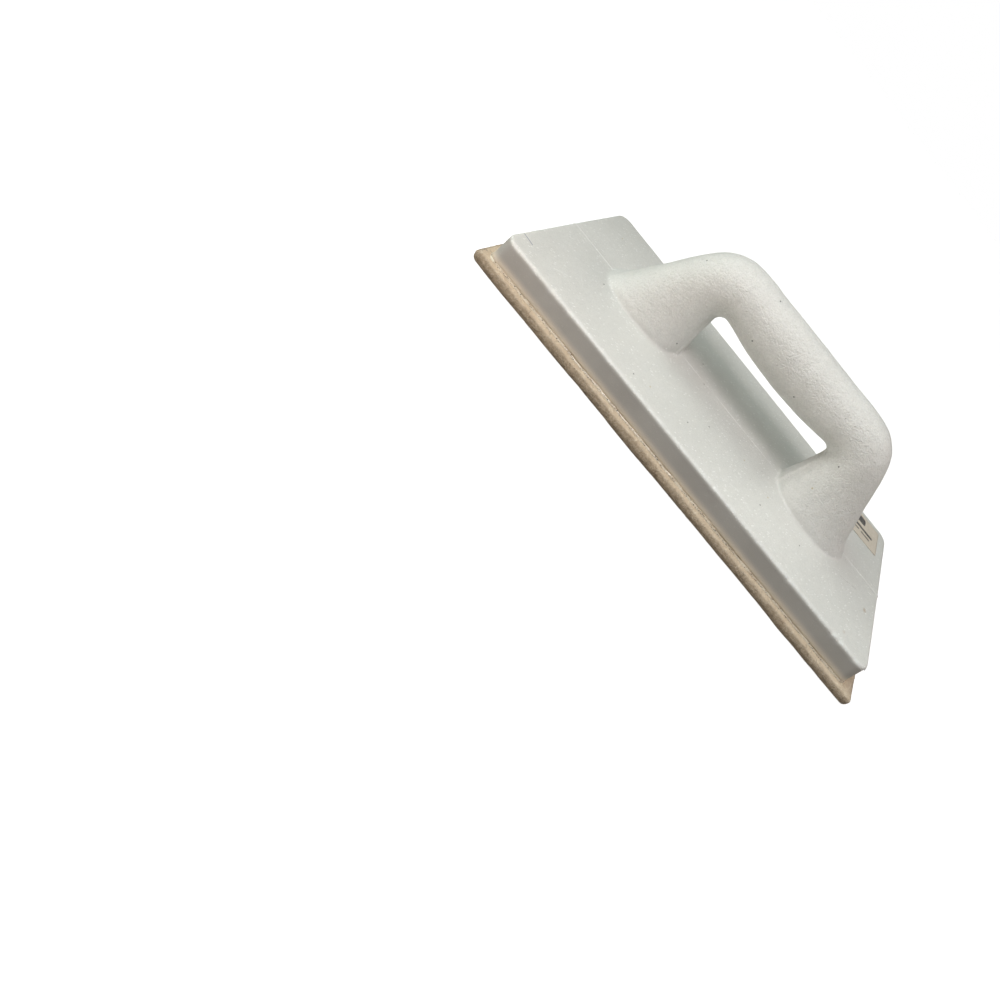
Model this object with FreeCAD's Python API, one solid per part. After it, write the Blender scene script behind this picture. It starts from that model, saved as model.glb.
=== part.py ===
import FreeCAD, Part
import math
import os

# A hand float for plaster and render: a one-piece rigid foam moulding (blade and D handle) with a
# wool felt pad bonded under it and a paper label stuck on the blade.
# Millimetres. Origin: centre of the felt's underside. +X runs along the float, +Z is up.

V = FreeCAD.Vector

# Felt pad
felt_length = 282.0
felt_width = 140.0
felt_thickness = 4.5
felt_corner_radius = 4.0
felt_edge_round = 1.2

# Bond line between felt and blade
bond_thickness = 0.4
bond_inset = 1.5

# Blade: the flat slab of the moulding, drafted so that it leaves the mould. It sits a little off
# the felt's centre, so the felt stands out further at one end than at the other.
moulding_shift = -1.75
blade_length = 268.0
blade_width = 129.0
blade_thickness = 13.4
blade_draft = 1.75
blade_low_corner_radius = 5.5
blade_top_corner_radius = 7.5
blade_edge_round = 1.8

# Handle profile in the X-Z plane, heights measured from the blade's top
handle_height = 57.2
leg_lean_deg = 32.4
leg_outer_reach = 97.3
outer_corner_radius = 31.0
opening_half_length = 43.0
opening_undercut = 1.4
opening_wall_height = 25.6
opening_corner_radius = 5.0
belly_drop = 3.0

# Handle sections across that profile
grip_half_width = 14.4
corner_half_width = 15.4
foot_half_width = 20.3
foot_flare_reach = 2.8
foot_flare_height = 9.0
round_exponent_grip = 2.05
round_exponent_foot = 2.4
section_points = 12
foot_sink = 3.0

# Paper label and its print
label_length = 40.0
label_width = 26.0
label_thickness = 0.2
label_corner_radius = 1.0
label_centre = (102.7, 44.4)
print_thickness = 0.06
print_block = (-13.0, 2.5, 9.0, 15.0)
print_bars = [(6.0, 8.0, 19.0, 3.2), (6.0, 2.2, 19.0, 2.0), (2.5, -4.6, 12.0, 2.0), (0.0, -9.0, 33.0, 1.4)]

blade_base = felt_thickness + bond_thickness
blade_top = blade_base + blade_thickness


def rounded_rectangle(length, width, radius, z):
    """A flat closed wire, centred on the Z axis."""
    x = length / 2
    y = width / 2
    quarter = radius * (1 - math.sqrt(0.5))
    corners = [(x, y, 1, 1), (-x, y, -1, 1), (-x, -y, -1, -1), (x, -y, 1, -1)]
    ends = []
    for cx, cy, sx, sy in corners:
        on_end = V(cx, cy - sy * radius, z)
        middle = V(cx - sx * quarter, cy - sy * quarter, z)
        on_side = V(cx - sx * radius, cy, z)
        ends.append((on_end, middle, on_side) if sx * sy > 0 else (on_side, middle, on_end))
    edges = []
    for i, (start, middle, end) in enumerate(ends):
        edges.append(Part.Arc(start, middle, end).toShape())
        edges.append(Part.LineSegment(end, ends[(i + 1) % 4][0]).toShape())
    return Part.Wire(edges)


def slab(length, width, radius, z, thickness):
    """A rounded rectangle pulled straight up."""
    return Part.Face(rounded_rectangle(length, width, radius, z)).extrude(V(0, 0, thickness))


def flat_rim_edges(solid, z):
    """The edges that lie wholly at one height."""
    return [e for e in solid.Edges if abs(e.BoundBox.ZMin - z) < 1e-4 and abs(e.BoundBox.ZMax - z) < 1e-4]


def make_felt_pad():
    pad = slab(felt_length, felt_width, felt_corner_radius, 0.0, felt_thickness)
    rims = flat_rim_edges(pad, 0.0) + flat_rim_edges(pad, felt_thickness)
    return pad.makeFillet(felt_edge_round, rims)


def make_bond_layer():
    return slab(
        blade_length - 2 * bond_inset,
        blade_width - 2 * bond_inset,
        blade_low_corner_radius - bond_inset,
        felt_thickness,
        bond_thickness,
    ).translated(V(moulding_shift, 0, 0))


def make_blade():
    low = rounded_rectangle(blade_length, blade_width, blade_low_corner_radius, blade_base)
    high = rounded_rectangle(
        blade_length - 2 * blade_draft,
        blade_width - 2 * blade_draft,
        blade_top_corner_radius,
        blade_top,
    )
    blade = Part.makeLoft([low, high], True, True)
    return blade.makeFillet(blade_edge_round, flat_rim_edges(blade, blade_top))


def leg_outer_x(z):
    """The outer face of a leg leans inwards as it rises, and flares where it meets the blade."""
    lean = leg_outer_reach - z * math.tan(math.radians(leg_lean_deg))
    flare = max(0.0, 1 - max(z, 0.0) / foot_flare_height)
    return lean + foot_flare_reach * flare**2


def handle_stations():
    """Outer point, inner point, half width and roundness of each section, from the foot at +X to
    the middle of the grip. Points are (x, height above the blade)."""
    lean = math.radians(leg_lean_deg)
    centre_z = handle_height - outer_corner_radius
    reach_at_centre = leg_outer_reach - centre_z * math.tan(lean)
    centre_x = reach_at_centre - outer_corner_radius / math.cos(lean)
    leg_end_z = centre_z + outer_corner_radius * math.sin(lean)
    inner_x = opening_half_length + opening_undercut - opening_corner_radius
    stations = []

    leg_heights = [-foot_sink, 0.0, 0.11, 0.3, 0.6]
    for h in leg_heights:
        share = max(h, 0.0)
        outer_z = share * leg_end_z if h >= 0 else h
        inner_z = share * opening_wall_height if h >= 0 else h
        wall_x = opening_half_length + opening_undercut * math.sin(share * math.pi / 2)
        width = corner_half_width + (foot_half_width - corner_half_width) * (1 - share) ** 1.8
        roundness = round_exponent_foot + (round_exponent_grip - round_exponent_foot) * share
        stations.append(((leg_outer_x(outer_z), outer_z), (wall_x, inner_z), width, roundness))

    corner_steps = 4
    for i in range(corner_steps + 1):
        share = i / corner_steps
        outer_angle = lean + (math.pi / 2 - lean) * share
        inner_angle = math.pi / 2 * share
        outer = (
            centre_x + outer_corner_radius * math.cos(outer_angle),
            centre_z + outer_corner_radius * math.sin(outer_angle),
        )
        inner = (
            inner_x + opening_corner_radius * math.cos(inner_angle),
            opening_wall_height + opening_corner_radius * math.sin(inner_angle),
        )
        width = corner_half_width + (grip_half_width - corner_half_width) * share
        stations.append((outer, inner, width, round_exponent_grip))

    grip_steps = 3
    for i in range(1, grip_steps + 1):
        share = 1 - i / grip_steps
        belly = opening_wall_height + opening_corner_radius - belly_drop * (1 - share**2)
        stations.append(
            ((centre_x * share, handle_height), (inner_x * share, belly), grip_half_width, round_exponent_grip)
        )
    return stations


def half_section(outer, inner, half_width, roundness):
    """The +Y half of a rounded section, from its outer to its inner point on the profile."""
    middle = V((outer[0] + inner[0]) / 2, 0, (outer[1] + inner[1]) / 2 + blade_top)
    half_depth = V((outer[0] - inner[0]) / 2, 0, (outer[1] - inner[1]) / 2)
    points = []
    for i in range(section_points + 1):
        angle = math.pi * i / section_points
        c = math.cos(angle)
        along = math.copysign(abs(c) ** (2 / roundness), c)
        across = math.sin(angle) ** (2 / roundness)
        points.append(middle + half_depth * along + V(0, half_width * across, 0))
    points[-1].y = 0
    curve = Part.BSplineCurve()
    curve.interpolate(Points=points, InitialTangent=V(0, 1, 0), FinalTangent=V(0, -1, 0))
    return Part.Wire([curve.toShape()])


def make_handle():
    """A skin over all sections on each side of the profile, closed by a flat end inside the blade."""
    rising = handle_stations()
    falling = [((-o[0], o[1]), (-i[0], i[1]), w, r) for o, i, w, r in reversed(rising[:-1])]
    sections = [half_section(*station) for station in rising + falling]
    skin = Part.makeLoft(sections, False, False)
    other_skin = skin.mirror(V(0, 0, 0), V(0, 1, 0))
    faces = skin.Faces + other_skin.Faces
    for foot in (sections[0], sections[-1]):
        edge = foot.Edges[0]
        rim = Part.Wire([edge, edge.mirror(V(0, 0, 0), V(0, 1, 0))])
        faces.append(Part.Face(rim))
    shell = Part.makeShell(faces)
    shell.sewShape()
    return Part.makeSolid(shell)


def make_float_body():
    return make_blade().fuse(make_handle()).translated(V(moulding_shift, 0, 0))


def make_paper_label():
    paper = slab(label_length, label_width, label_corner_radius, blade_top, label_thickness)
    paper.translate(V(label_centre[0], label_centre[1], 0))
    return paper


def make_label_print():
    """A plain block and plain bars: no words and no mark."""
    base = blade_top + label_thickness
    pieces = []
    for x, y, length, width in [print_block] + print_bars:
        bar = slab(length, width, min(length, width) * 0.3, base, print_thickness)
        bar.translate(V(label_centre[0] + x, label_centre[1] + y, 0))
        pieces.append(bar)
    return Part.makeCompound(pieces)


os.makedirs("parts", exist_ok=True)
nodes = {
    "felt_pad": make_felt_pad(),
    "bond_layer": make_bond_layer(),
    "float_body": make_float_body(),
    "paper_label": make_paper_label(),
    "label_print": make_label_print(),
}
for name, shape in nodes.items():
    shape.exportStep(f"parts/{name}.step")
    box = shape.BoundBox
    print(name, "solids", len(shape.Solids), "valid", shape.isValid(), "volume", round(shape.Volume), "mm3",
          "z", round(box.ZMin, 2), "to", round(box.ZMax, 2), "size", round(box.XLength, 2), round(box.YLength, 2))
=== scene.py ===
"""A felt-faced plastering float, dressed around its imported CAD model.

Metres throughout, in the CAD frame: +X along the float, +Z up, the felt's underside at z = 0.
"""

import itertools
import math
import random

import bmesh
import bpy
import numpy as np
from mathutils import Euler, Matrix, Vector
from mathutils.bvhtree import BVHTree


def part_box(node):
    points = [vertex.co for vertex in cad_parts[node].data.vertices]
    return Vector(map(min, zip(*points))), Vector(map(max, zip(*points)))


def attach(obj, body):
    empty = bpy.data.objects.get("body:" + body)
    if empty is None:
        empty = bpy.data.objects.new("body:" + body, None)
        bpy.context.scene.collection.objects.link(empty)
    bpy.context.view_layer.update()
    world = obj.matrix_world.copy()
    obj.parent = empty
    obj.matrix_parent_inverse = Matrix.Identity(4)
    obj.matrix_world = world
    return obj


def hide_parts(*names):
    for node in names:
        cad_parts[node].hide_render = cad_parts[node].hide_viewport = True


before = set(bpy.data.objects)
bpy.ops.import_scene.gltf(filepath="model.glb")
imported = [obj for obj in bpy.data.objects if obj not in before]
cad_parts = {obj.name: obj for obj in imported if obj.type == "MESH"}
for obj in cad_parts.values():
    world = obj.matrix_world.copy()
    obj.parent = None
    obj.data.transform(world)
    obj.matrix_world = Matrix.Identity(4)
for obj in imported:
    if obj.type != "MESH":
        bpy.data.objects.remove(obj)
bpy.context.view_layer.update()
MM = 0.001

felt_low, felt_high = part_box("felt_pad")
body_low, body_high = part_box("float_body")
label_low, label_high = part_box("paper_label")
down = Vector((0, 0, -1))
blade_base = body_low.z
blade_top = label_low.z
middle_x = (body_low.x + body_high.x) / 2


# ---------------------------------------------------------------- mesh helpers


def lattice_noise(points, size, seed):
    """Smooth noise from -1 to 1 at each point, with lumps about that size across.

    The corners of each lattice cell get scrambled whole numbers, the same for the same seed.
    """
    scaled = points / size
    cell = np.floor(scaled).astype(np.int64)
    part = scaled - cell
    part = part * part * (3 - 2 * part)
    total = np.zeros(len(points))
    for corner in itertools.product((0, 1), repeat=3):
        weight = np.ones(len(points))
        mixed = np.full(len(points), seed * 1013904223, dtype=np.int64)
        for axis, prime in enumerate((374761393, 668265263, 1442695041)):
            weight *= part[:, axis] if corner[axis] else 1 - part[:, axis]
            mixed += (cell[:, axis] + corner[axis]) * prime
        mixed = (mixed ^ (mixed >> 13)) * 1274126177
        mixed ^= mixed >> 16
        total += weight * ((mixed & 0xFFFF) / 32767.5 - 1)
    return total


def smooth_step(value, low, high):
    share = np.clip((value - low) / (high - low), 0, 1)
    return share * share * (3 - 2 * share)


def read_points(mesh, what="co"):
    values = np.empty(len(mesh.vertices) * 3)
    mesh.vertices.foreach_get(what, values)
    return values.reshape(-1, 3)


def write_points(mesh, points):
    mesh.vertices.foreach_set("co", points.ravel())
    mesh.update()


def write_mask(mesh, name, values):
    layer = mesh.attributes.new(name, "FLOAT", "POINT")
    layer.data.foreach_set("value", np.asarray(values, dtype=np.float32))


def add_piece(name, mesh, stands_for=()):
    piece = bpy.data.objects.new(name, mesh)
    bpy.context.collection.objects.link(piece)
    mesh.polygons.foreach_set("use_smooth", [True] * len(mesh.polygons))
    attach(piece, "root")
    if stands_for:
        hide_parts(*stands_for)
    return piece


def even_copy(node, voxel, relax):
    """The CAD node's shape as an even mesh, fine enough to carry surface relief."""
    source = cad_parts[node].data
    worker = bpy.data.objects.new("worker", source.copy())
    bpy.context.collection.objects.link(worker)
    remesh = worker.modifiers.new("even", "REMESH")
    remesh.mode = "VOXEL"
    remesh.voxel_size = voxel
    soften = worker.modifiers.new("soften", "SMOOTH")
    soften.factor = 0.5
    soften.iterations = relax
    seen = worker.evaluated_get(bpy.context.evaluated_depsgraph_get())
    mesh = bpy.data.meshes.new_from_object(seen)
    bpy.data.objects.remove(worker)
    mesh.materials.clear()
    surface = surface_of(source)
    for vertex in mesh.vertices:
        vertex.co = surface.find_nearest(vertex.co)[0]
    mesh.update()
    return mesh


def surface_of(mesh):
    return BVHTree.FromPolygons([v.co for v in mesh.vertices], [p.vertices for p in mesh.polygons])


def merge_hidden(mesh, level, inset):
    """Joins the flat faces at that height which another piece covers into one face."""
    flush = 0.02 * MM
    shape = bmesh.new()
    shape.from_mesh(mesh)

    def covered(point):
        inside_x = body_low.x + inset < point.x < body_high.x - inset
        return inside_x and abs(point.y) < body_high.y - inset and abs(point.z - level) < flush

    hidden = [face for face in shape.faces if all(covered(vertex.co) for vertex in face.verts)]
    bmesh.ops.dissolve_faces(shape, faces=hidden)
    shape.to_mesh(mesh)
    shape.free()


def crumb_mesh(name, crumbs):
    """Small irregular lumps. Each crumb is (centre, half size along each axis, material index)."""
    ball = bmesh.new()
    bmesh.ops.create_icosphere(ball, subdivisions=1, radius=1)
    corners = [vertex.co.copy() for vertex in ball.verts]
    triangles = [[vertex.index for vertex in face.verts] for face in ball.faces]
    ball.free()
    shaper = random.Random(17)
    vertices, faces, slots = [], [], []
    for centre, half, slot in crumbs:
        start = len(vertices)
        vertices += [centre + corner * half * shaper.uniform(0.75, 1.25) for corner in corners]
        faces += [[start + k for k in triangle] for triangle in triangles]
        slots += [slot] * len(triangles)
    mesh = bpy.data.meshes.new(name)
    mesh.from_pydata(vertices, [], faces)
    mesh.polygons.foreach_set("material_index", slots)
    return mesh


def tube_mesh(name, paths, sides):
    """One mesh of thin tubes with flat closed ends. Each path is (points, radii, material index)."""
    slanted = Vector((0.31, 0.17, 0.93))
    vertices, faces, slots = [], [], []
    for points, radii, slot in paths:
        start = len(vertices)
        for i, (point, radius) in enumerate(zip(points, radii)):
            ahead = points[min(i + 1, len(points) - 1)] - points[max(i - 1, 0)]
            across = ahead.cross(slanted).normalized()
            up = ahead.cross(across).normalized()
            for k in range(sides):
                turn = 2 * math.pi * k / sides
                vertices.append(point + (across * math.cos(turn) + up * math.sin(turn)) * radius)
        for i in range(len(points) - 1):
            for k in range(sides):
                a, b = start + i * sides + k, start + i * sides + (k + 1) % sides
                faces.append((a, b, b + sides, a + sides))
        last = start + (len(points) - 1) * sides
        faces.append(tuple(start + k for k in reversed(range(sides))))
        faces.append(tuple(last + k for k in range(sides)))
        slots += [slot] * (len(faces) - len(slots))
    mesh = bpy.data.meshes.new(name)
    mesh.from_pydata(vertices, [], faces)
    mesh.polygons.foreach_set("material_index", slots)
    return mesh


# ------------------------------------------------------------ material helpers


class Look:
    """A Principled material and the few node patterns that the looks below share."""

    def __init__(self, name, roughness):
        self.material = bpy.data.materials.new(name)
        self.material.use_nodes = True
        self.tree = self.material.node_tree
        self.shader = self.tree.nodes["Principled BSDF"]
        self.shader.inputs["Roughness"].default_value = roughness
        self.place = self.tree.nodes.new("ShaderNodeTexCoord").outputs["Object"]
        self.normal = None

    def link(self, source, target):
        self.tree.links.new(source, target)

    def mapped(self, stretch, turn=0.0):
        """The place, for a texture drawn out that many times along one level direction."""
        node = self.tree.nodes.new("ShaderNodeMapping")
        node.vector_type = "TEXTURE"
        node.inputs["Scale"].default_value = (stretch, 1, 1)
        node.inputs["Rotation"].default_value = (0, 0, turn)
        self.link(self.place, node.inputs["Vector"])
        return node.outputs["Vector"]

    def noise(self, size, detail=3.0, distortion=0.0, place=None):
        """Noise with features about that many metres across."""
        node = self.tree.nodes.new("ShaderNodeTexNoise")
        node.inputs["Scale"].default_value = 1 / size
        node.inputs["Detail"].default_value = detail
        node.inputs["Distortion"].default_value = distortion
        self.link(place or self.place, node.inputs["Vector"])
        return node.outputs["Fac"]

    def cells(self, size, place=None):
        """How far off the nearest of scattered points is, as a share of their spacing in metres."""
        node = self.tree.nodes.new("ShaderNodeTexVoronoi")
        node.inputs["Scale"].default_value = 1 / size
        self.link(place or self.place, node.inputs["Vector"])
        return node.outputs["Distance"]

    def between(self, value, low, high, start=0.0, end=1.0):
        """The value's stretch from low to high, spread from start to end."""
        node = self.tree.nodes.new("ShaderNodeMapRange")
        node.interpolation_type = "SMOOTHSTEP"
        for name, number in zip(("From Min", "From Max", "To Min", "To Max"), (low, high, start, end)):
            node.inputs[name].default_value = number
        self.link(value, node.inputs["Value"])
        return node.outputs["Result"]

    def mask(self, name):
        """The mesh's own mask of that name, written by write_mask."""
        node = self.tree.nodes.new("ShaderNodeAttribute")
        node.attribute_name = name
        return node.outputs["Fac"]

    def combine(self, operation, a, b):
        """Two values, or a value and a number, put together by a Math node's operation."""
        node = self.tree.nodes.new("ShaderNodeMath")
        node.operation = operation
        for socket, value in zip(node.inputs, (a, b)):
            if isinstance(value, (int, float)):
                socket.default_value = value
            else:
                self.link(value, socket)
        return node.outputs["Value"]

    def times(self, a, b):
        return self.combine("MULTIPLY", a, b)

    def blend(self, share, first, second):
        """The first colour where the share is 0, the second where it is 1."""
        node = self.tree.nodes.new("ShaderNodeMix")
        node.data_type = "RGBA"
        self.link(share, node.inputs["Factor"])
        first_socket, second_socket, result = 6, 7, 2  # the ones for colours
        for index, colour in ((first_socket, first), (second_socket, second)):
            if isinstance(colour, tuple):
                node.inputs[index].default_value = (*colour, 1)
            else:
                self.link(colour, node.inputs[index])
        return node.outputs[result]

    def vector(self, operation, a, b, output="Vector"):
        """The same for places and directions, by a Vector Math node's operation."""
        node = self.tree.nodes.new("ShaderNodeVectorMath")
        node.operation = operation
        for socket, value in zip(node.inputs, (a, b)):
            if isinstance(value, Vector):
                socket.default_value = value
            else:
                self.link(value, socket)
        return node.outputs[output]

    def spot(self, centre, radius):
        """A round mark with a soft edge, at that place on the surface."""
        away = self.vector("DISTANCE", self.place, Vector(centre), "Value")
        return self.between(away, radius * 0.55, radius * 1.1, 1.0, 0.0)

    def stroke(self, start, end, width):
        """A thin straight mark with a soft edge, from one place to another."""
        start, along = Vector(start), Vector(end) - Vector(start)
        reach = self.vector("DOT_PRODUCT", self.vector("SUBTRACT", self.place, start), along, "Value")
        share = self.combine("DIVIDE", reach, along.length_squared)
        share.node.use_clamp = True
        foot = self.tree.nodes.new("ShaderNodeVectorMath")
        foot.operation = "SCALE"
        foot.inputs[0].default_value = along
        self.link(share, foot.inputs["Scale"])
        nearest = self.vector("ADD", foot.outputs["Vector"], start)
        away = self.vector("DISTANCE", self.place, nearest, "Value")
        return self.between(away, width * 0.3, width * 0.7, 1.0, 0.0)

    def any_of(self, masks):
        """A mask of everything that is in one of these."""
        whole = masks[0]
        for mask in masks[1:]:
            whole = self.combine("MAXIMUM", whole, mask)
        return whole

    def colour(self, source):
        self.link(source, self.shader.inputs["Base Color"])

    def roughness(self, source):
        self.link(source, self.shader.inputs["Roughness"])

    def bump(self, height, depth):
        """Adds relief of about that depth in metres."""
        node = self.tree.nodes.new("ShaderNodeBump")
        node.inputs["Distance"].default_value = depth
        self.link(height, node.inputs["Height"])
        if self.normal:
            self.link(self.normal, node.inputs["Normal"])
        self.normal = node.outputs["Normal"]
        self.link(self.normal, self.shader.inputs["Normal"])


# -------------------------------------------------------------------- materials


def spot_at(x, y, z=None):
    """A place from millimetres, on the blade's top where no height is given."""
    return (x * MM, y * MM, blade_top if z is None else z * MM)


def line_between(start, end):
    return (spot_at(*start), spot_at(*end))


dark_grains = [spot_at(*spot) for spot in (
    (-96, -19.3), (-50, -53.8), (-15.5, -43), (-6, -28.5), (39.5, -39), (69.5, -34), (-23.4, -1.6),
    (-32, 13.7), (92, 52), (-60, 49), (-69.1, -8.3, 61), (-31.7, -5.8, 74.4), (49.2, -13.9, 50.7),
    (-25.8, -13.4, 55.8), (8, -13.1, 54.5), (-49, -11.3, 25))]
yellow_grains = [spot_at(*spot) for spot in (
    (-40.4, -49.3), (19.7, -21.7), (41.5, -27.5), (-118, 36), (52.2, -15, 34.1))]
pale_scratches = [line_between(*ends) for ends in (
    ((-116.4, 21.8), (-109.5, 17)), ((-111, 9.2), (-108, 7)), ((-113, -50), (-106.5, -43)),
    ((-104, -33), (-98, -39)), ((-86, -8), (-78, -27)), ((14, -52), (25, -47)),
    ((86, -16), (97, -40)), ((-30, 40), (-8, 46)))]
dark_scratches = [line_between(*ends) for ends in (
    ((121.8, -1.4), (128, -2)), ((100, -20), (113, -15.5)), ((60, 48), (66, 41)))]
pen_mark = line_between((-132.8, -49.4), (-126.2, -50.4))


def foam_look():
    """White moulded foam skin: pebbled, satin, lightly handled."""
    look = Look("white_foam_skin", 0.4)
    # The skin's own tones, and pale flecks in it.
    handle = look.mask("handle")
    broad = look.between(look.noise(0.05, 4), 0.3, 0.7)
    white = look.blend(broad, (0.79, 0.79, 0.76), (0.84, 0.84, 0.81))
    white = look.blend(look.times(handle, 0.6), white, (0.93, 0.925, 0.90))
    mottle = look.between(look.noise(0.0032, 5), 0.35, 0.75, 0.0, 0.25)
    white = look.blend(mottle, white, (0.69, 0.69, 0.665))
    grain = look.between(look.noise(0.0007, 2, 0.3), 0.42, 0.68, 0.0, 0.35)
    white = look.blend(grain, white, (0.66, 0.66, 0.635))
    flecks = look.between(look.cells(0.0015, place=look.mapped(2.0, 0.7)), 0.14, 0.27, 1.0, 0.0)
    scattered = look.between(look.noise(0.0055, 2), 0.42, 0.53)
    fewer_on_handle = look.between(handle, 0, 1, 1.0, 0.45)
    flecks = look.times(flecks, look.times(scattered, fewer_on_handle))
    white = look.blend(flecks, white, (0.99, 0.99, 0.97))

    # The blade's wall in painted shade, painted warm bounce light beside the seam, and a painted
    # highlight along the top edges.
    wall = look.mask("wall")
    uneven = look.between(look.noise(0.02, 3), 0.3, 0.7, 0.85, 1.0)
    white = look.blend(look.times(wall, uneven), white, (0.455, 0.44, 0.425))
    white = look.blend(look.mask("seam"), white, (0.94, 0.85, 0.72))
    rub_and_highlight_patches = look.between(look.noise(0.0016, 3), 0.36, 0.56, 0.45, 1.0)
    white = look.blend(look.times(look.mask("edge_painted_highlight"), rub_and_highlight_patches), white, (1.0, 1.0, 0.99))

    # Dust, grains, scratches, a pen mark and a stain.
    dust = look.between(look.cells(0.0105), 0.020, 0.034, 0.6, 0.0)
    sparse = look.between(look.noise(0.03, 1), 0.52, 0.58)
    white = look.blend(look.times(dust, sparse), white, (0.20, 0.18, 0.16))
    yellow = look.any_of([look.spot(place, 0.55 * MM) for place in yellow_grains])
    white = look.blend(look.times(yellow, 0.65), white, (0.56, 0.46, 0.22))
    dark = look.any_of([look.spot(place, 0.45 * MM) for place in dark_grains])
    white = look.blend(dark, white, (0.05, 0.045, 0.04))
    ragged = look.between(look.noise(0.0012, 3), 0.40, 0.56)
    for scratches, width, share, colour in ((pale_scratches, 0.45, 0.8, (0.95, 0.95, 0.93)),
                                            (dark_scratches, 0.40, 0.6, (0.38, 0.36, 0.34))):
        lines = look.any_of([look.stroke(*ends, width * MM) for ends in scratches])
        white = look.blend(look.times(look.times(lines, ragged), share), white, colour)
    pen = look.times(look.stroke(*pen_mark, 0.42 * MM), 0.8)
    white = look.blend(pen, white, (0.10, 0.11, 0.25))
    white = look.blend(look.mask("brown_stain"), white, (0.46, 0.33, 0.20))
    look.colour(white)
    look.roughness(look.between(look.noise(0.012, 2), 0.3, 0.7, 0.36, 0.46))

    # The pebbled relief, strongest on the handle.
    pebbles = look.noise(0.00095, 2, 0.3)
    look.bump(look.times(pebbles, look.between(handle, 0, 1, 0.10, 1.0)), 0.00050)
    wrinkles = look.between(look.noise(0.0022, 3, 0.6, look.mapped(2)), 0.49, 0.55)
    look.bump(look.times(wrinkles, handle), 0.00007)
    look.bump(look.noise(0.00045, 2), 0.00013)
    look.bump(flecks, 0.00004)
    look.shader.inputs["Subsurface Weight"].default_value = 0.06
    look.shader.inputs["Subsurface Radius"].default_value = (0.0015, 0.0013, 0.0011)
    return look.material


def felt_look():
    """Pressed wool: cream and tan fibres matted together, darker round the rim's side."""
    look = Look("pressed_wool_felt", 0.95)
    broad = look.between(look.noise(0.045, 3), 0.3, 0.7)
    wool = look.blend(broad, (0.64, 0.515, 0.375), (0.72, 0.59, 0.445))
    coarse_ways = ((0.3, 0.0011), (1.4, 0.0013), (2.5, 0.0012))
    fibres = look.any_of([look.noise(size, 3, 0.45, look.mapped(7, turn)) for turn, size in coarse_ways])
    fine = look.any_of([look.noise(0.0006, 2, 0.3, look.mapped(8, turn)) for turn in (0.9, 2.2)])
    light = look.between(fibres, 0.58, 0.72, 0.0, 0.75)
    wool = look.blend(light, wool, (0.86, 0.75, 0.60))
    wool = look.blend(look.between(fine, 0.56, 0.70, 0.0, 0.5), wool, (0.84, 0.73, 0.58))
    shade = look.between(look.noise(0.0022, 5, 1.2), 0.52, 0.70, 0.0, 0.45)
    wool = look.blend(shade, wool, (0.36, 0.27, 0.18))
    rust = look.between(look.noise(0.016, 3, 1.0), 0.60, 0.72, 0.0, 0.35)
    wool = look.blend(rust, wool, (0.52, 0.32, 0.20))
    specks = look.between(look.cells(0.004), 0.06, 0.11, 0.8, 0.0)
    sparse = look.between(look.noise(0.009, 1), 0.52, 0.60)
    wool = look.blend(look.times(specks, sparse), wool, (0.08, 0.06, 0.05))
    rim_side_patches = look.between(look.noise(0.0012, 4, 0.6), 0.25, 0.75, 0.55, 1.0)
    wool = look.blend(look.times(look.mask("dark_rim_side"), rim_side_patches), wool, (0.225, 0.168, 0.118))
    look.colour(wool)
    look.bump(fibres, 0.0005)
    look.bump(fine, 0.0004)
    look.bump(look.noise(0.0008, 5, 0.5), 0.0003)
    look.shader.inputs["Specular IOR Level"].default_value = 0.12
    look.shader.inputs["Sheen Weight"].default_value = 0.25
    look.shader.inputs["Sheen Roughness"].default_value = 0.6
    look.shader.inputs["Sheen Tint"].default_value = (0.95, 0.88, 0.76, 1)
    return look.material


def hair_look(name, dark, light):
    look = Look(name, 0.7)
    look.colour(look.blend(look.between(look.noise(0.004, 2), 0.3, 0.7), dark, light))
    look.bump(look.noise(0.0004, 2), 0.00003)
    look.shader.inputs["Sheen Weight"].default_value = 0.2
    return look.material


def glue_look():
    """Dried contact glue, rubbed over with wool dust."""
    look = Look("dried_contact_glue", 0.4)
    amber = look.between(look.noise(0.0035, 4), 0.35, 0.60)
    glue = look.blend(amber, (0.60, 0.51, 0.39), (0.76, 0.68, 0.55))
    grains = look.between(look.cells(0.0016), 0.10, 0.22, 0.6, 0.0)
    look.colour(look.blend(grains, glue, (0.15, 0.095, 0.055)))
    look.roughness(look.between(look.noise(0.002, 3), 0.3, 0.7, 0.22, 0.6))
    look.bump(look.noise(0.0008, 3), 0.0001)
    look.shader.inputs["Coat Weight"].default_value = 0.3
    return look.material


def grain_look(name, first, second, roughness):
    look = Look(name, roughness)
    look.colour(look.blend(look.between(look.noise(0.002, 2), 0.35, 0.65), first, second))
    look.bump(look.noise(0.0003, 2), 0.00004)
    return look.material


def paper_look():
    look = Look("label_paper", 0.62)
    fibres = look.between(look.noise(0.0012, 5, 0.8), 0.3, 0.7)
    paper = look.blend(fibres, (0.68, 0.60, 0.51), (0.75, 0.68, 0.59))
    wear_and_edge_highlight = look.between(look.noise(0.010, 4), 0.52, 0.72, 0.0, 0.6)
    paper = look.blend(wear_and_edge_highlight, paper, (0.53, 0.47, 0.40))
    look.colour(paper)
    look.roughness(look.between(look.noise(0.003, 3), 0.3, 0.7, 0.5, 0.75))
    look.bump(look.noise(0.0006, 4), 0.00005)
    return look.material


def ink_look():
    look = Look("label_ink", 0.5)
    rub_and_highlight_patches = look.between(look.noise(0.0011, 4), 0.46, 0.70, 0.0, 0.6)
    look.colour(look.blend(rub_and_highlight_patches, (0.085, 0.085, 0.09), (0.44, 0.39, 0.33)))
    look.roughness(look.between(look.noise(0.001, 3), 0.3, 0.7, 0.45, 0.75))
    look.bump(look.noise(0.0005, 3), 0.00002)
    return look.material


# ----------------------------------------------------------------- foam moulding

foam_voxel = 0.95 * MM
skin_pits = 90
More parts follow.
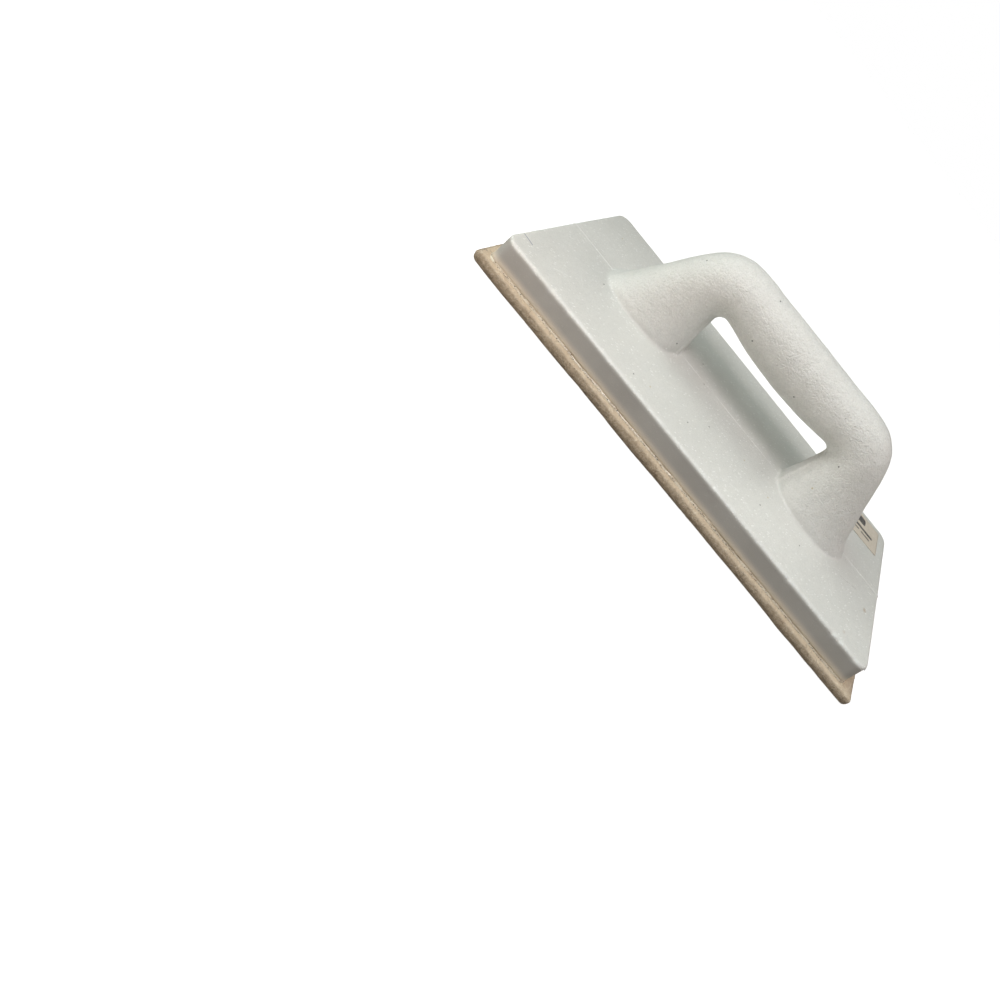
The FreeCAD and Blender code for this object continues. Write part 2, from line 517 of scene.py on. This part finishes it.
# Millimetres: place along the near top edge, size.
edge_chips = [(-126, 1.3), (-114, 1.1), (-103, 1.6), (-98.5, 1.2), (-90, 1.3), (-62, 1.0), (-20, 0.9),
              (14, 1.1), (47, 0.9), (71, 1.2), (104.4, 1.6), (109, 1.5), (121, 1.3)]
# Millimetres: x, y, size.
face_pits = [(122.5, -58, 1.1), (126.4, -55.5, 1.0), (-88, 38, 0.9), (12, 48, 1.0), (-118, 4, 0.9)]
# Millimetres: x, y, size; then strength.
stain_places = [(121.5, -24, 2.2, 0.55), (110.5, -54.5, 1.5, 0.3)]


def dent(points, normals, centre, radius, depth):
    """Pushes a small hollow into the surface, with its deepest point at the centre."""
    away = np.linalg.norm(points - np.array(centre), axis=1)
    points -= normals * (depth * np.exp(-((away / radius) ** 2)))[:, None]


def foam_moulding():
    """The blade and handle: gentle waves, chips, pits, and the masks that the foam's look reads."""
    mesh = even_copy("float_body", foam_voxel, relax=2)
    merge_hidden(mesh, blade_base, 1.5 * MM)
    points = read_points(mesh)
    normals = read_points(mesh, "normal")
    rest = points.copy()
    on_handle = smooth_step(points[:, 2], blade_top + 0.5 * MM, blade_top + 5 * MM)
    outside = smooth_step(points[:, 2], blade_base + 0.5 * MM, blade_base + 3 * MM)

    # Shallow waves, finer and stronger on the handle; none at the base.
    relief = 0.20 * MM * lattice_noise(points, 0.045, 1)
    relief += (0.03 + 0.08 * on_handle) * MM * lattice_noise(points, 0.0075, 2)
    relief += (0.02 + 0.025 * on_handle) * MM * lattice_noise(points, 0.0030, 3)
    points += normals * (relief * outside)[:, None]

    near_edge = body_low.y + 2.2 * MM
    for along, size in edge_chips:
        place = (along * MM, near_edge, blade_top - 0.5 * MM)
        dent(points, normals, place, size * MM, 0.42 * size * MM)
    for x, y, size in face_pits:
        dent(points, normals, spot_at(x, y), size * 0.8 * MM, 0.30 * MM)
    picker = random.Random(7)
    for _ in range(skin_pits):
        place = points[picker.randrange(len(points))].copy()
        dent(points, normals, place, picker.uniform(0.9, 1.5) * MM, picker.uniform(0.05, 0.18) * MM)
    write_points(mesh, points)

    # Masks, from where the points were before the relief.
    write_mask(mesh, "handle", on_handle)
    below_top = blade_top - rest[:, 2]
    above_base = rest[:, 2] - blade_base
    wall = smooth_step(below_top, 0.5 * MM, 2.3 * MM)
    patches = 0.88 + 0.12 * lattice_noise(rest, 0.012, 9)
    # Painted shade: the wall is darkened to stand in for the shade it falls in.
    write_mask(mesh, "wall", wall * 0.95)
    # Painted warm bounce light from the felt, low on the wall beside the seam.
    write_mask(mesh, "seam", wall * (1 - smooth_step(above_base, 0, 5.5 * MM)) * patches)
    # Painted highlight along the blade's rounded top edges, made patchy.
    edge_level, edge_half, edge_reach = 0.55 * MM, 0.5 * MM, 3.4 * MM
    rim_place = np.abs(below_top - edge_level) / edge_half
    beyond = np.maximum(np.abs(rest[:, 0] - middle_x) - (body_high.x - middle_x) + edge_reach,
                        np.abs(rest[:, 1]) - body_high.y + edge_reach)
    wear_and_edge_highlight = np.exp(-(rim_place ** 2)) * (beyond > 0) * (0.5 + 0.5 * lattice_noise(rest, 0.004, 14))
    write_mask(mesh, "edge_painted_highlight", np.clip(wear_and_edge_highlight, 0, 1))
    stain = np.zeros(len(points))
    for x, y, size, strength in stain_places:
        away = np.hypot((rest[:, 0] - x * MM) * 1.6, rest[:, 1] - y * MM) / (size * MM)
        away += 0.5 * lattice_noise(rest, 0.0014, 12)
        stain += strength * (1 - smooth_step(away, 0.3, 1.1)) * (below_top < 1 * MM)
    write_mask(mesh, "brown_stain", np.clip(stain, 0, 1))
    return mesh


def flash_paths(surface):
    """Where the mould's halves met: along the blade, over the handle and round its opening."""
    far = body_high.x - body_low.x
    centre = Vector((middle_x, 0, blade_top - 1 * MM))
    opening_middle = Vector((middle_x, 0, blade_top + 14 * MM))
    overhead = blade_top + 5 * MM
    foot, blade_end = 96 * MM, body_high.x - middle_x - 1.2 * MM
    rays = []
    for side in (-1, 1):
        reach = np.linspace(foot, blade_end, 90)
        rays.append([(Vector((middle_x + side * step, 0, overhead)), down) for step in reach])
    # Over the handle from outside, then round its opening from inside: degrees and steps.
    for low, high, steps, inward in ((3, 177, 400, True), (0, 360, 360, False)):
        fan = []
        for turn in np.radians(np.linspace(low, high, steps)):
            aim = Vector((math.cos(turn), 0, math.sin(turn)))
            fan.append((centre + aim * far, -aim) if inward else (opening_middle, aim))
        rays.append(fan)
    routes = []
    for fan in rays:
        hits = [surface.ray_cast(start, aim)[:2] for start, aim in fan]
        routes.append([(hit, normal) for hit, normal in hits if hit is not None])
    return routes


def flash_mesh(surface):
    """A low ragged ridge of triangular section, sunk a little into the skin."""
    half = Vector((0, 0.32 * MM, 0))
    sunk = 0.12 * MM
    vertices, faces = [], []
    for route in flash_paths(surface):
        spots = np.array([hit for hit, _ in route])
        tall = 0.5 + 0.5 * lattice_noise(spots, 0.006, 21) + 0.35 * lattice_noise(spots, 0.0015, 22)
        start = len(vertices)
        for (hit, normal), height in zip(route, tall):
            height = max(0.0, height)
            if abs(hit.z - blade_top) > 1.5 * MM:  # on the handle
                rise = (0.02 + 0.05 * height) * MM
            elif abs(hit.x - middle_x) < 60 * MM:  # between its feet
                rise = (0.04 + 0.10 * height) * MM
            else:  # beyond its feet
                rise = (0.16 + 0.22 * height) * MM
            vertices.append(hit - half - normal * sunk)
            vertices.append(hit + normal * rise)
            vertices.append(hit + half - normal * sunk)
        for i in range(len(route) - 1):
            a, b = start + 3 * i, start + 3 * (i + 1)
            faces += [(a, b, b + 1, a + 1), (a + 1, b + 1, b + 2, a + 2), (a + 2, b + 2, b, a)]
        end = start + 3 * (len(route) - 1)
        faces += [(start, start + 1, start + 2), (end + 2, end + 1, end)]
    mesh = bpy.data.meshes.new("mould_flash")
    mesh.from_pydata(vertices, [], faces)
    mesh.update()
    return mesh


# ------------------------------------------------------------------------- felt

felt_voxel = 0.9 * MM
hair_count = 2100
hair_steps = 9
underside_share = 0.42  # of the hairs, on the underside
risen_share = 0.08  # of the hairs, with an end that stands up


def felt_mesh():
    """The pad: a wavy rim, a crown beside the blade, a dropped shoulder and a creased underside."""
    mesh = even_copy("felt_pad", felt_voxel, relax=2)
    merge_hidden(mesh, felt_high.z, 3 * MM)
    points = read_points(mesh)
    normals = read_points(mesh, "normal")
    inside = np.minimum(felt_high.x - np.abs(points[:, 0]), felt_high.y - np.abs(points[:, 1]))
    rim = 1 - smooth_step(inside, 0, 12 * MM)
    corner_reach, corner_loss = 22 * MM, 0.7 * MM
    corner_pull = smooth_step(np.abs(points[:, 0]), felt_high.x - corner_reach, felt_high.x) * corner_loss
    corner_pull *= smooth_step(np.abs(points[:, 1]), felt_high.y - corner_reach, felt_high.y)

    # The wavy rim, nearly the same all the way up.
    flat = points * np.array([1, 1, 0.35])
    for axis, seed in ((0, 31), (1, 32)):
        waver = 0.45 * lattice_noise(flat, 0.030, seed) + 0.30 * lattice_noise(flat, 0.009, seed + 5)
        points[:, axis] += rim * waver * MM - np.sign(points[:, axis]) * corner_pull

    # The free upper face beside the blade: a crown, then a shoulder that drops to the rim.
    beyond_x = np.maximum(points[:, 0] - body_high.x, body_low.x - points[:, 0])
    beyond_y = np.maximum(points[:, 1] - body_high.y, body_low.y - points[:, 1])
    beyond = np.maximum(beyond_x, beyond_y)
    free = smooth_step(beyond, -0.2 * MM, 0.7 * MM)
    upper = smooth_step(points[:, 2], 2.0 * MM, 4.2 * MM)
    crown_place, crown_half = 2.2 * MM, 2.4 * MM
    crown = np.exp(-(((beyond - crown_place) / crown_half) ** 2))
    puff = 0.16 + 0.22 * crown + 0.20 * lattice_noise(flat, 0.014, 41)
    puff += 0.10 * lattice_noise(flat, 0.005, 42)
    points[:, 2] += free * upper * puff * MM
    shoulder_reach, shoulder_drop = 2.6 * MM, 1.1 * MM
    shoulder = np.clip(1 - inside / shoulder_reach, 0, 1)
    points[:, 2] -= shoulder_drop * shoulder ** 1.5 * upper

    # Small unevenness, most where the felt can be seen.
    fuzz = 0.08 * lattice_noise(points, 0.0024, 51) + 0.12 * lattice_noise(points, 0.006, 52)
    side = 1 - np.abs(normals[:, 2])
    points += normals * ((0.25 + 0.75 * np.maximum(free * upper, side)) * fuzz * MM)[:, None]

    # The underside: creases along the float, and shallow hollows.
    crease = lattice_noise(points * np.array([0.25, 1, 1]), 0.0065, 63)
    hollow = 0.05 + 0.11 * np.clip(1 - np.abs(crease) * 3.5, 0, 1)
    hollow += 0.06 * (1 + lattice_noise(points, 0.004, 61))
    under = 1 - smooth_step(points[:, 2], 0.2 * MM, 1.0 * MM)
    points[:, 2] += under * hollow * MM
    lowest = 0.01 * MM
    points[:, 2] = np.maximum(points[:, 2], lowest)
    hidden = (beyond < -0.2 * MM) & (points[:, 2] > 3 * MM)
    points[hidden, 2] = np.minimum(points[hidden, 2], felt_high.z)
    write_points(mesh, points)

    # How far in from the rim the darker band on its side shows.
    boundary = (1.8 + 0.6 * lattice_noise(flat, 0.008, 45) + 0.3 * lattice_noise(flat, 0.0025, 46)) * MM
    outer = 1 - smooth_step(inside - boundary, -0.9 * MM, 0.7 * MM)
    write_mask(mesh, "dark_rim_side", outer * smooth_step(points[:, 2], 0.0, 0.4 * MM) * 0.8)
    return mesh


def hair_root(underside, picker):
    """Where a hair starts: anywhere on the underside, or on the rim all round."""
    length_x, length_y = felt_high.x - felt_low.x, felt_high.y - felt_low.y
    if underside:
        return Vector((picker.uniform(-0.49, 0.49) * length_x, picker.uniform(-0.49, 0.49) * length_y, 0))
    along = picker.uniform(-0.5, 0.5)
    if picker.random() < length_x / (length_x + length_y):
        root = Vector((along * length_x, picker.choice((felt_low.y, felt_high.y)), 0))
    else:
        root = Vector((picker.choice((felt_low.x, felt_high.x)), along * length_y, 0))
    root.z = picker.uniform(0.5, 5.0) * MM
    return root


def hair_paths(surface, picker):
    """Loose hairs lying on the felt: (points, radii, material index) for each."""
    paths = []
    for i in range(hair_count):
        where = picker.random()
        underside = where < underside_share
        place = hair_root(underside, picker)
        shade = picker.choices((0, 1, 2), (0.40, 0.22, 0.38))[0]
        if underside:
            lengths, widths, curliness = (3.0, 14.0), (0.030, 0.065), 0.22
        else:
            lengths, widths, curliness = (1.5, 5.0), (0.020, 0.048), 0.13
        long = picker.uniform(*lengths) * MM
        thick = picker.uniform(*widths) * MM
        heading = Vector((picker.gauss(0, 1), picker.gauss(0, 1), picker.gauss(0, 0.4)))
        curl = picker.gauss(0, curliness)
        points = []
        for k in range(hair_steps):
            spot, normal, _, _ = surface.find_nearest(place)
            lift = (0.01 + 0.06 * max(0, math.sin(k * 1.3 + i))) * MM
            if where > 1 - risen_share:
                lift += 0.45 * MM * (k / hair_steps) ** 2
            point = spot + normal * lift
            point.z = max(point.z, 0.06 * MM)
            points.append(point)
            heading -= normal * heading.dot(normal)
            heading = heading.normalized()
            curl += picker.gauss(0, 0.07)
            heading = heading + normal.cross(heading) * curl
            place = point + heading.normalized() * (long / hair_steps)
        radii = [thick * (0.5 if k in (0, hair_steps - 1) else 1) for k in range(hair_steps)]
        paths.append((points, radii, shade))
    return paths


# ------------------------------------------------------------------ glue and label


outline_corner = 5.5 * MM  # radius of the blade's corners, seen from above
arc_steps = 5  # for each corner
seam_reach = 0.5 * MM  # from the blade's outline to where the felt's height is read
grain_share = 0.7  # of the steps along the seam
torn_share = 0.65  # of the steps along the blade's edge, at its busiest


def seam_outline(steps_per_metre):
    """Points round the blade's lower outline, at z = 0, with arcs at the corners."""
    x0, x1 = body_low.x + outline_corner, body_high.x - outline_corner
    y0, y1 = body_low.y + outline_corner, body_high.y - outline_corner
    arcs = [(x1, y1, 0), (x0, y1, 90), (x0, y0, 180), (x1, y0, 270)]

    def on_arc(arc, turn):
        angle = math.radians(turn)
        x, y, _ = arcs[arc % 4]
        return Vector((x + outline_corner * math.cos(angle), y + outline_corner * math.sin(angle), 0))

    outline = []
    for i, (_, _, turn) in enumerate(arcs):
        outline += [on_arc(i, turn + 90 * k / arc_steps) for k in range(arc_steps + 1)]
        begin, end = outline[-1], on_arc(i + 1, arcs[(i + 1) % 4][2])
        count = int((end - begin).length * steps_per_metre)
        outline += [begin.lerp(end, k / count) for k in range(1, count)]
    return outline


def seam_level(felt_surface, spot):
    """Height of the felt's upper face just outside a place on the blade's outline."""
    above = spot + outward_at(spot) * seam_reach - down * 2 * felt_high.z
    return felt_surface.ray_cast(above, down)[0].z


def glue_bead_mesh(felt_surface):
    """Squeezed-out glue: an uneven fillet in the corner between the blade's wall and the felt."""
    # Millimetres out from the wall and up from the felt.
    section = [(-0.30, 0.80), (-0.02, 0.72), (0.18, 0.26), (0.62, 0.03), (0.45, -0.30), (-0.30, -0.30)]
    outline = seam_outline(steps_per_metre=1500)
    spots = np.array(outline)
    swell = 1.0 + 0.25 * lattice_noise(spots, 0.007, 71) + 0.22 * lattice_noise(spots, 0.0022, 72)
    thinnest = 0.92
    swell = np.maximum(swell, thinnest)
    vertices, faces = [], []
    for spot, size in zip(outline, swell):
        level = seam_level(felt_surface, spot)
        for out, up in section:
            corner = spot + outward_at(spot) * out * size * MM
            corner.z = level + up * size * MM
            vertices.append(corner)
    around = len(section)
    for i in range(len(outline)):
        start, following = i * around, (i + 1) % len(outline) * around
        for k in range(around):
            m = (k + 1) % around
            faces.append((start + k, start + m, following + m, following + k))
    mesh = bpy.data.meshes.new("glue_bead")
    mesh.from_pydata(vertices, [], faces)
    return mesh


def outward_at(spot):
    """Level direction away from the blade at a place on its outline."""
    turn_reach = 6 * MM
    core = Vector((max(body_low.x + turn_reach, min(spot.x, body_high.x - turn_reach)),
                   max(body_low.y + turn_reach, min(spot.y, body_high.y - turn_reach)),
                   spot.z))
    return (spot - core).normalized()


def glue_crumbs(felt_surface, picker):
    """Grains of dried glue and wool dirt caught in the seam."""
    crumbs = []
    for spot in seam_outline(steps_per_metre=1300):
        if picker.random() > grain_share:
            continue
        lower = picker.random() ** 1.6
        place = spot + outward_at(spot) * (0.04 + 0.44 * lower) * MM
        place.z = seam_level(felt_surface, spot) + (0.06 + 0.62 * (1 - lower) ** 2) * MM
        kind = picker.choices((0, 1, 2), (0.5, 0.28, 0.22))[0]
        half = Vector([picker.uniform(0.7, 1.5) for _ in range(3)]) * picker.uniform(0.12, 0.27) * MM
        crumbs.append((place, half, kind))
    return crumbs


def flash_crumbs(surface, picker):
    """Small torn bits of mould flash, half sunk in the blade's rounded top edges."""
    crumbs = []
    for spot in seam_outline(steps_per_metre=700):
        busy = 0.5 + 0.5 * lattice_noise(np.array([spot]), 0.02, 75)[0]
        if picker.random() > torn_share * busy:
            continue
        outward = outward_at(spot)
        inward_down = Vector((-outward.x, -outward.y, -1)).normalized()
        edge = spot + Vector((0, 0, blade_top + picker.uniform(0.5, 1.3) * MM))
        hit, normal, _, _ = surface.ray_cast(edge - inward_down * 5 * MM, inward_down)
        long, thick = picker.uniform(0.5, 1.3) * MM, picker.uniform(0.20, 0.38) * MM
        longer = long - thick
        half = Vector((thick + longer * abs(outward.y), thick + longer * abs(outward.x), thick))
        crumbs.append((hit - normal * 0.5 * thick, half, 0))
    return crumbs


def label_height(x, y):
    """Height of the paper's underside: slight bubbles, and one corner coming up."""
    lifted_reach = 5 * MM
    spot = np.array([[x, y, 0.0]])
    bubble = 0.5 + 0.5 * lattice_noise(spot, 0.008, 81)[0]
    to_corner = math.hypot(x - label_high.x, y - label_low.y)
    lifted = 0.3 * max(0.0, 1 - to_corner / lifted_reach) ** 2
    return blade_top + (0.06 + 0.10 * bubble + lifted) * MM


def draped_patch(name, x0, x1, y0, y1, base, thickness, corner):
    """A thin sheet with rounded corners that follows the label's height."""
    grid_step = 0.8 * MM
    columns = max(4, int((x1 - x0) / grid_step))
    rows = max(3, int((y1 - y0) / grid_step))
    vertices, faces = [], []
    for level in (0, 1):
        for j in range(rows + 1):
            for i in range(columns + 1):
                x = x0 + (x1 - x0) * i / columns
                y = y0 + (y1 - y0) * j / rows
                edge_x = max(x0 + corner - x, x - (x1 - corner), 0)
                edge_y = max(y0 + corner - y, y - (y1 - corner), 0)
                reach = math.hypot(edge_x, edge_y)
                if reach > corner:  # outside the rounded corner, so pulled in to its arc
                    x -= math.copysign(edge_x * (1 - corner / reach), x - (x0 + x1) / 2)
                    y -= math.copysign(edge_y * (1 - corner / reach), y - (y0 + y1) / 2)
                z = label_height(x, y) + base + thickness * level
                vertices.append((x, y, z))
    layer = (rows + 1) * (columns + 1)

    def index(i, j, level):
        return level * layer + j * (columns + 1) + i

    for j in range(rows):
        for i in range(columns):
            faces.append([index(i, j, 1), index(i + 1, j, 1), index(i + 1, j + 1, 1), index(i, j + 1, 1)])
            faces.append([index(i, j + 1, 0), index(i + 1, j + 1, 0), index(i + 1, j, 0), index(i, j, 0)])
    ring = [(i, 0) for i in range(columns)] + [(columns, j) for j in range(rows)]
    ring += [(i, rows) for i in range(columns, 0, -1)] + [(0, j) for j in range(rows, 0, -1)]
    for (i, j), (k, m) in zip(ring, ring[1:] + ring[:1]):
        faces.append([index(i, j, 0), index(k, m, 0), index(k, m, 1), index(i, j, 1)])
    mesh = bpy.data.meshes.new(name)
    mesh.from_pydata(vertices, [], faces)
    return mesh


def joined(name, meshes):
    """Several meshes as one."""
    vertices, faces = [], []
    for mesh in meshes:
        start = len(vertices)
        vertices += [v.co.copy() for v in mesh.vertices]
        faces += [[start + k for k in face.vertices] for face in mesh.polygons]
    whole = bpy.data.meshes.new(name)
    whole.from_pydata(vertices, [], faces)
    return whole


# --------------------------------------------------------------------- build it

foam = foam_look()
felt_material = felt_look()
hair_looks = [hair_look("hair_dark", (0.030, 0.024, 0.020), (0.085, 0.065, 0.05)),
              hair_look("hair_brown", (0.16, 0.085, 0.045), (0.27, 0.16, 0.09)),
              hair_look("hair_cream", (0.62, 0.52, 0.38), (0.78, 0.70, 0.56))]
glue = glue_look()
paper = paper_look()
ink = ink_look()

moulding = add_piece("foam_moulding", foam_moulding(), stands_for=["float_body"])
moulding.data.materials.append(foam)
skin = surface_of(moulding.data)
flash_parts = [flash_mesh(skin), crumb_mesh("flash", flash_crumbs(skin, random.Random(5)))]
flash = add_piece("mould_flash", joined("mould_flash", flash_parts))
flash.data.materials.append(foam)
# Painted highlight: the mould flash and its crumbs get the top edges' brighter colour.
flash_painted_highlight = 0.4
write_mask(flash.data, "edge_painted_highlight", [flash_painted_highlight] * len(flash.data.vertices))

felt = add_piece("wool_felt", felt_mesh(), stands_for=["felt_pad"])
felt.data.materials.append(felt_material)
felt_surface = surface_of(felt.data)
strands = hair_paths(felt_surface, random.Random(3))
hair = add_piece("felt_hairs", tube_mesh("felt_hairs", strands, 3))
for material in hair_looks:
    hair.data.materials.append(material)

bead = add_piece("glue_bead", glue_bead_mesh(felt_surface))
bead.data.materials.append(glue)
grains = glue_crumbs(felt_surface, random.Random(11))
crumbs = add_piece("glue_crumbs", crumb_mesh("glue_crumbs", grains))
for material in (grain_look("brown_grain", (0.10, 0.06, 0.035), (0.22, 0.14, 0.09), 0.45),
                 # Painted glint: these grains' near-white colour stands in for glints off clear glue.
                 grain_look("glue_grain_painted_glint", (0.62, 0.55, 0.44), (0.86, 0.83, 0.76), 0.18),
                 grain_look("dark_grain", (0.03, 0.025, 0.02), (0.07, 0.055, 0.045), 0.5)):
    crumbs.data.materials.append(material)
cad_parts["bond_layer"].material_slots[0].material = glue

paper_thickness = 0.12 * MM
ink_thickness = 0.03 * MM
paper_mesh = draped_patch("label_sheet", label_low.x, label_high.x, label_low.y, label_high.y,
                          base=0, thickness=paper_thickness, corner=1 * MM)
label = add_piece("label_sheet", paper_mesh, stands_for=["paper_label"])
label.data.materials.append(paper)
label_x, label_y = (label_low.x + label_high.x) / 2, (label_low.y + label_high.y) / 2
# Millimetres: x and y of the middle, from the label's middle, then length and width.
print_bars = [(2.5, 6.5, 10, 7), (-11, 6.5, 9, 7), (2, -1.8, 26, 2.2), (-15, -1.8, 5, 2.2),
              (-7, -6, 20, 1.2), (9, -6, 8, 1.2)]
bar_meshes = []
for x, y, long, wide in print_bars:
    x0, x1 = label_x + (x - long / 2) * MM, label_x + (x + long / 2) * MM
    y0, y1 = label_y + (y - wide / 2) * MM, label_y + (y + wide / 2) * MM
    corner = min(long, wide) * 0.3 * MM
    bar_meshes.append(draped_patch("bar", x0, x1, y0, y1, paper_thickness, ink_thickness, corner))
bars = joined("label_marks", bar_meshes)
marks = add_piece("label_marks", bars, stands_for=["label_print"])
marks.data.materials.append(ink)


# ------------------------------------------------------------ stage, light, camera


def floor_look():
    """A pale lit sweep: mostly its own glow, so that it stays even, with soft shadows in the rest."""
    look = Look("studio_floor", 0.9)
    mottle = look.between(look.noise(0.4, 3), 0.3, 0.7)
    look.colour(look.blend(mottle, (0.79, 0.79, 0.79), (0.81, 0.81, 0.81)))
    look.shader.inputs["Specular IOR Level"].default_value = 0.05
    look.shader.inputs["Emission Color"].default_value = (1, 1, 1, 1)
    look.shader.inputs["Emission Strength"].default_value = 0.715
    return look.material


def add_floor(reach):
    mesh = bpy.data.meshes.new("floor")
    corners = [(-reach, -reach, 0), (reach, -reach, 0), (reach, reach, 0), (-reach, reach, 0)]
    mesh.from_pydata(corners, [], [(0, 1, 2, 3)])
    mesh.materials.append(floor_look())
    floor = bpy.data.objects.new("floor", mesh)
    floor.visible_diffuse = False
    floor.visible_glossy = False
    bpy.context.collection.objects.link(floor)


def towards(elevation, azimuth):
    """Unit direction from the object to a light; azimuth 0 is +X and 90 is +Y."""
    rise, turn = math.radians(elevation), math.radians(azimuth)
    level = math.cos(rise)
    return Vector((level * math.cos(turn), level * math.sin(turn), math.sin(rise)))


def add_light(name, kind, direction, energy, colour, distance=1.0):
    """A light turned to a point in the middle of the object, and not seen itself."""
    aim = Vector((0, 0, 0.03))
    lamp = bpy.data.lights.new(name, kind)
    lamp.energy = energy
    lamp.color = colour
    holder = bpy.data.objects.new(name, lamp)
    holder.location = aim + direction * distance
    holder.rotation_euler = (-direction).to_track_quat("-Z", "Y").to_euler()
    holder.visible_camera = False
    bpy.context.collection.objects.link(holder)
    return lamp


def add_disk(name, direction, energy, colour, distance, diameter):
    lamp = add_light(name, "AREA", direction, energy, colour, distance)
    lamp.shape = "DISK"
    lamp.size = diameter


def add_broad_sun(name, direction, energy, colour):
    add_light(name, "SUN", direction, energy, colour).angle = math.radians(45)


def studio_world(below, above, backdrop):
    """Dim light from the sky half and the floor half, with a pale backdrop for the camera."""
    world = bpy.data.worlds.new("studio")
    world.use_nodes = True
    bpy.context.scene.world = world
    tree = world.node_tree
    floor_side = tree.nodes["Background"]
    sky_side = tree.nodes.new("ShaderNodeBackground")
    seen = tree.nodes.new("ShaderNodeBackground")
    for shader, colour in ((floor_side, below), (sky_side, above), (seen, backdrop)):
        shader.inputs["Color"].default_value = (*colour, 1)
    split = tree.nodes.new("ShaderNodeSeparateXYZ")
    fade = tree.nodes.new("ShaderNodeMapRange")
    half_width = 0.15
    fade.inputs["From Min"].default_value = -half_width
    fade.inputs["From Max"].default_value = half_width
    halves = tree.nodes.new("ShaderNodeMixShader")
    whole = tree.nodes.new("ShaderNodeMixShader")
    tree.links.new(tree.nodes.new("ShaderNodeTexCoord").outputs["Generated"], split.inputs["Vector"])
    tree.links.new(split.outputs["Z"], fade.inputs["Value"])
    tree.links.new(fade.outputs["Result"], halves.inputs["Fac"])
    tree.links.new(floor_side.outputs["Background"], halves.inputs[1])
    tree.links.new(sky_side.outputs["Background"], halves.inputs[2])
    tree.links.new(tree.nodes.new("ShaderNodeLightPath").outputs["Is Camera Ray"], whole.inputs["Fac"])
    tree.links.new(halves.outputs["Shader"], whole.inputs[1])
    tree.links.new(seen.outputs["Background"], whole.inputs[2])
    tree.links.new(whole.outputs["Shader"], tree.nodes["World Output"].inputs["Surface"])


add_floor(30.0)
add_disk("key", towards(58, -107), 1.08, (1.0, 0.96, 0.945), distance=0.45, diameter=0.18)
add_broad_sun("left", towards(35, 180), 1.40, (0.87, 1.0, 0.94))
add_broad_sun("right", towards(33, 25), 0.72, (1.0, 0.945, 0.89))
add_disk("low_fill", towards(8, -140), 0.025, (1.0, 0.83, 0.71), distance=0.21, diameter=0.06)
add_disk("end_fill", towards(38, -42), 0.036, (1.0, 0.97, 1.0), distance=0.32, diameter=0.10)
studio_world(below=(0.28, 0.262, 0.21), above=(0.03, 0.028, 0.025), backdrop=(1.0, 1.0, 1.0))

eye = bpy.data.cameras.new("eye")
eye.sensor_width = 36
eye.lens = 19.65
eye.shift_x = -0.07
eye.shift_y = 0.005
eye.clip_start = 0.01
viewer = bpy.data.objects.new("eye", eye)
viewer.location = (-0.03545, -0.2851, 0.1471)
viewer.rotation_euler = Euler([math.radians(turn) for turn in (33.29, -35.81, 37.63)])
bpy.context.collection.objects.link(viewer)
bpy.context.scene.camera = viewer
bpy.context.scene.view_settings.view_transform = "Standard"
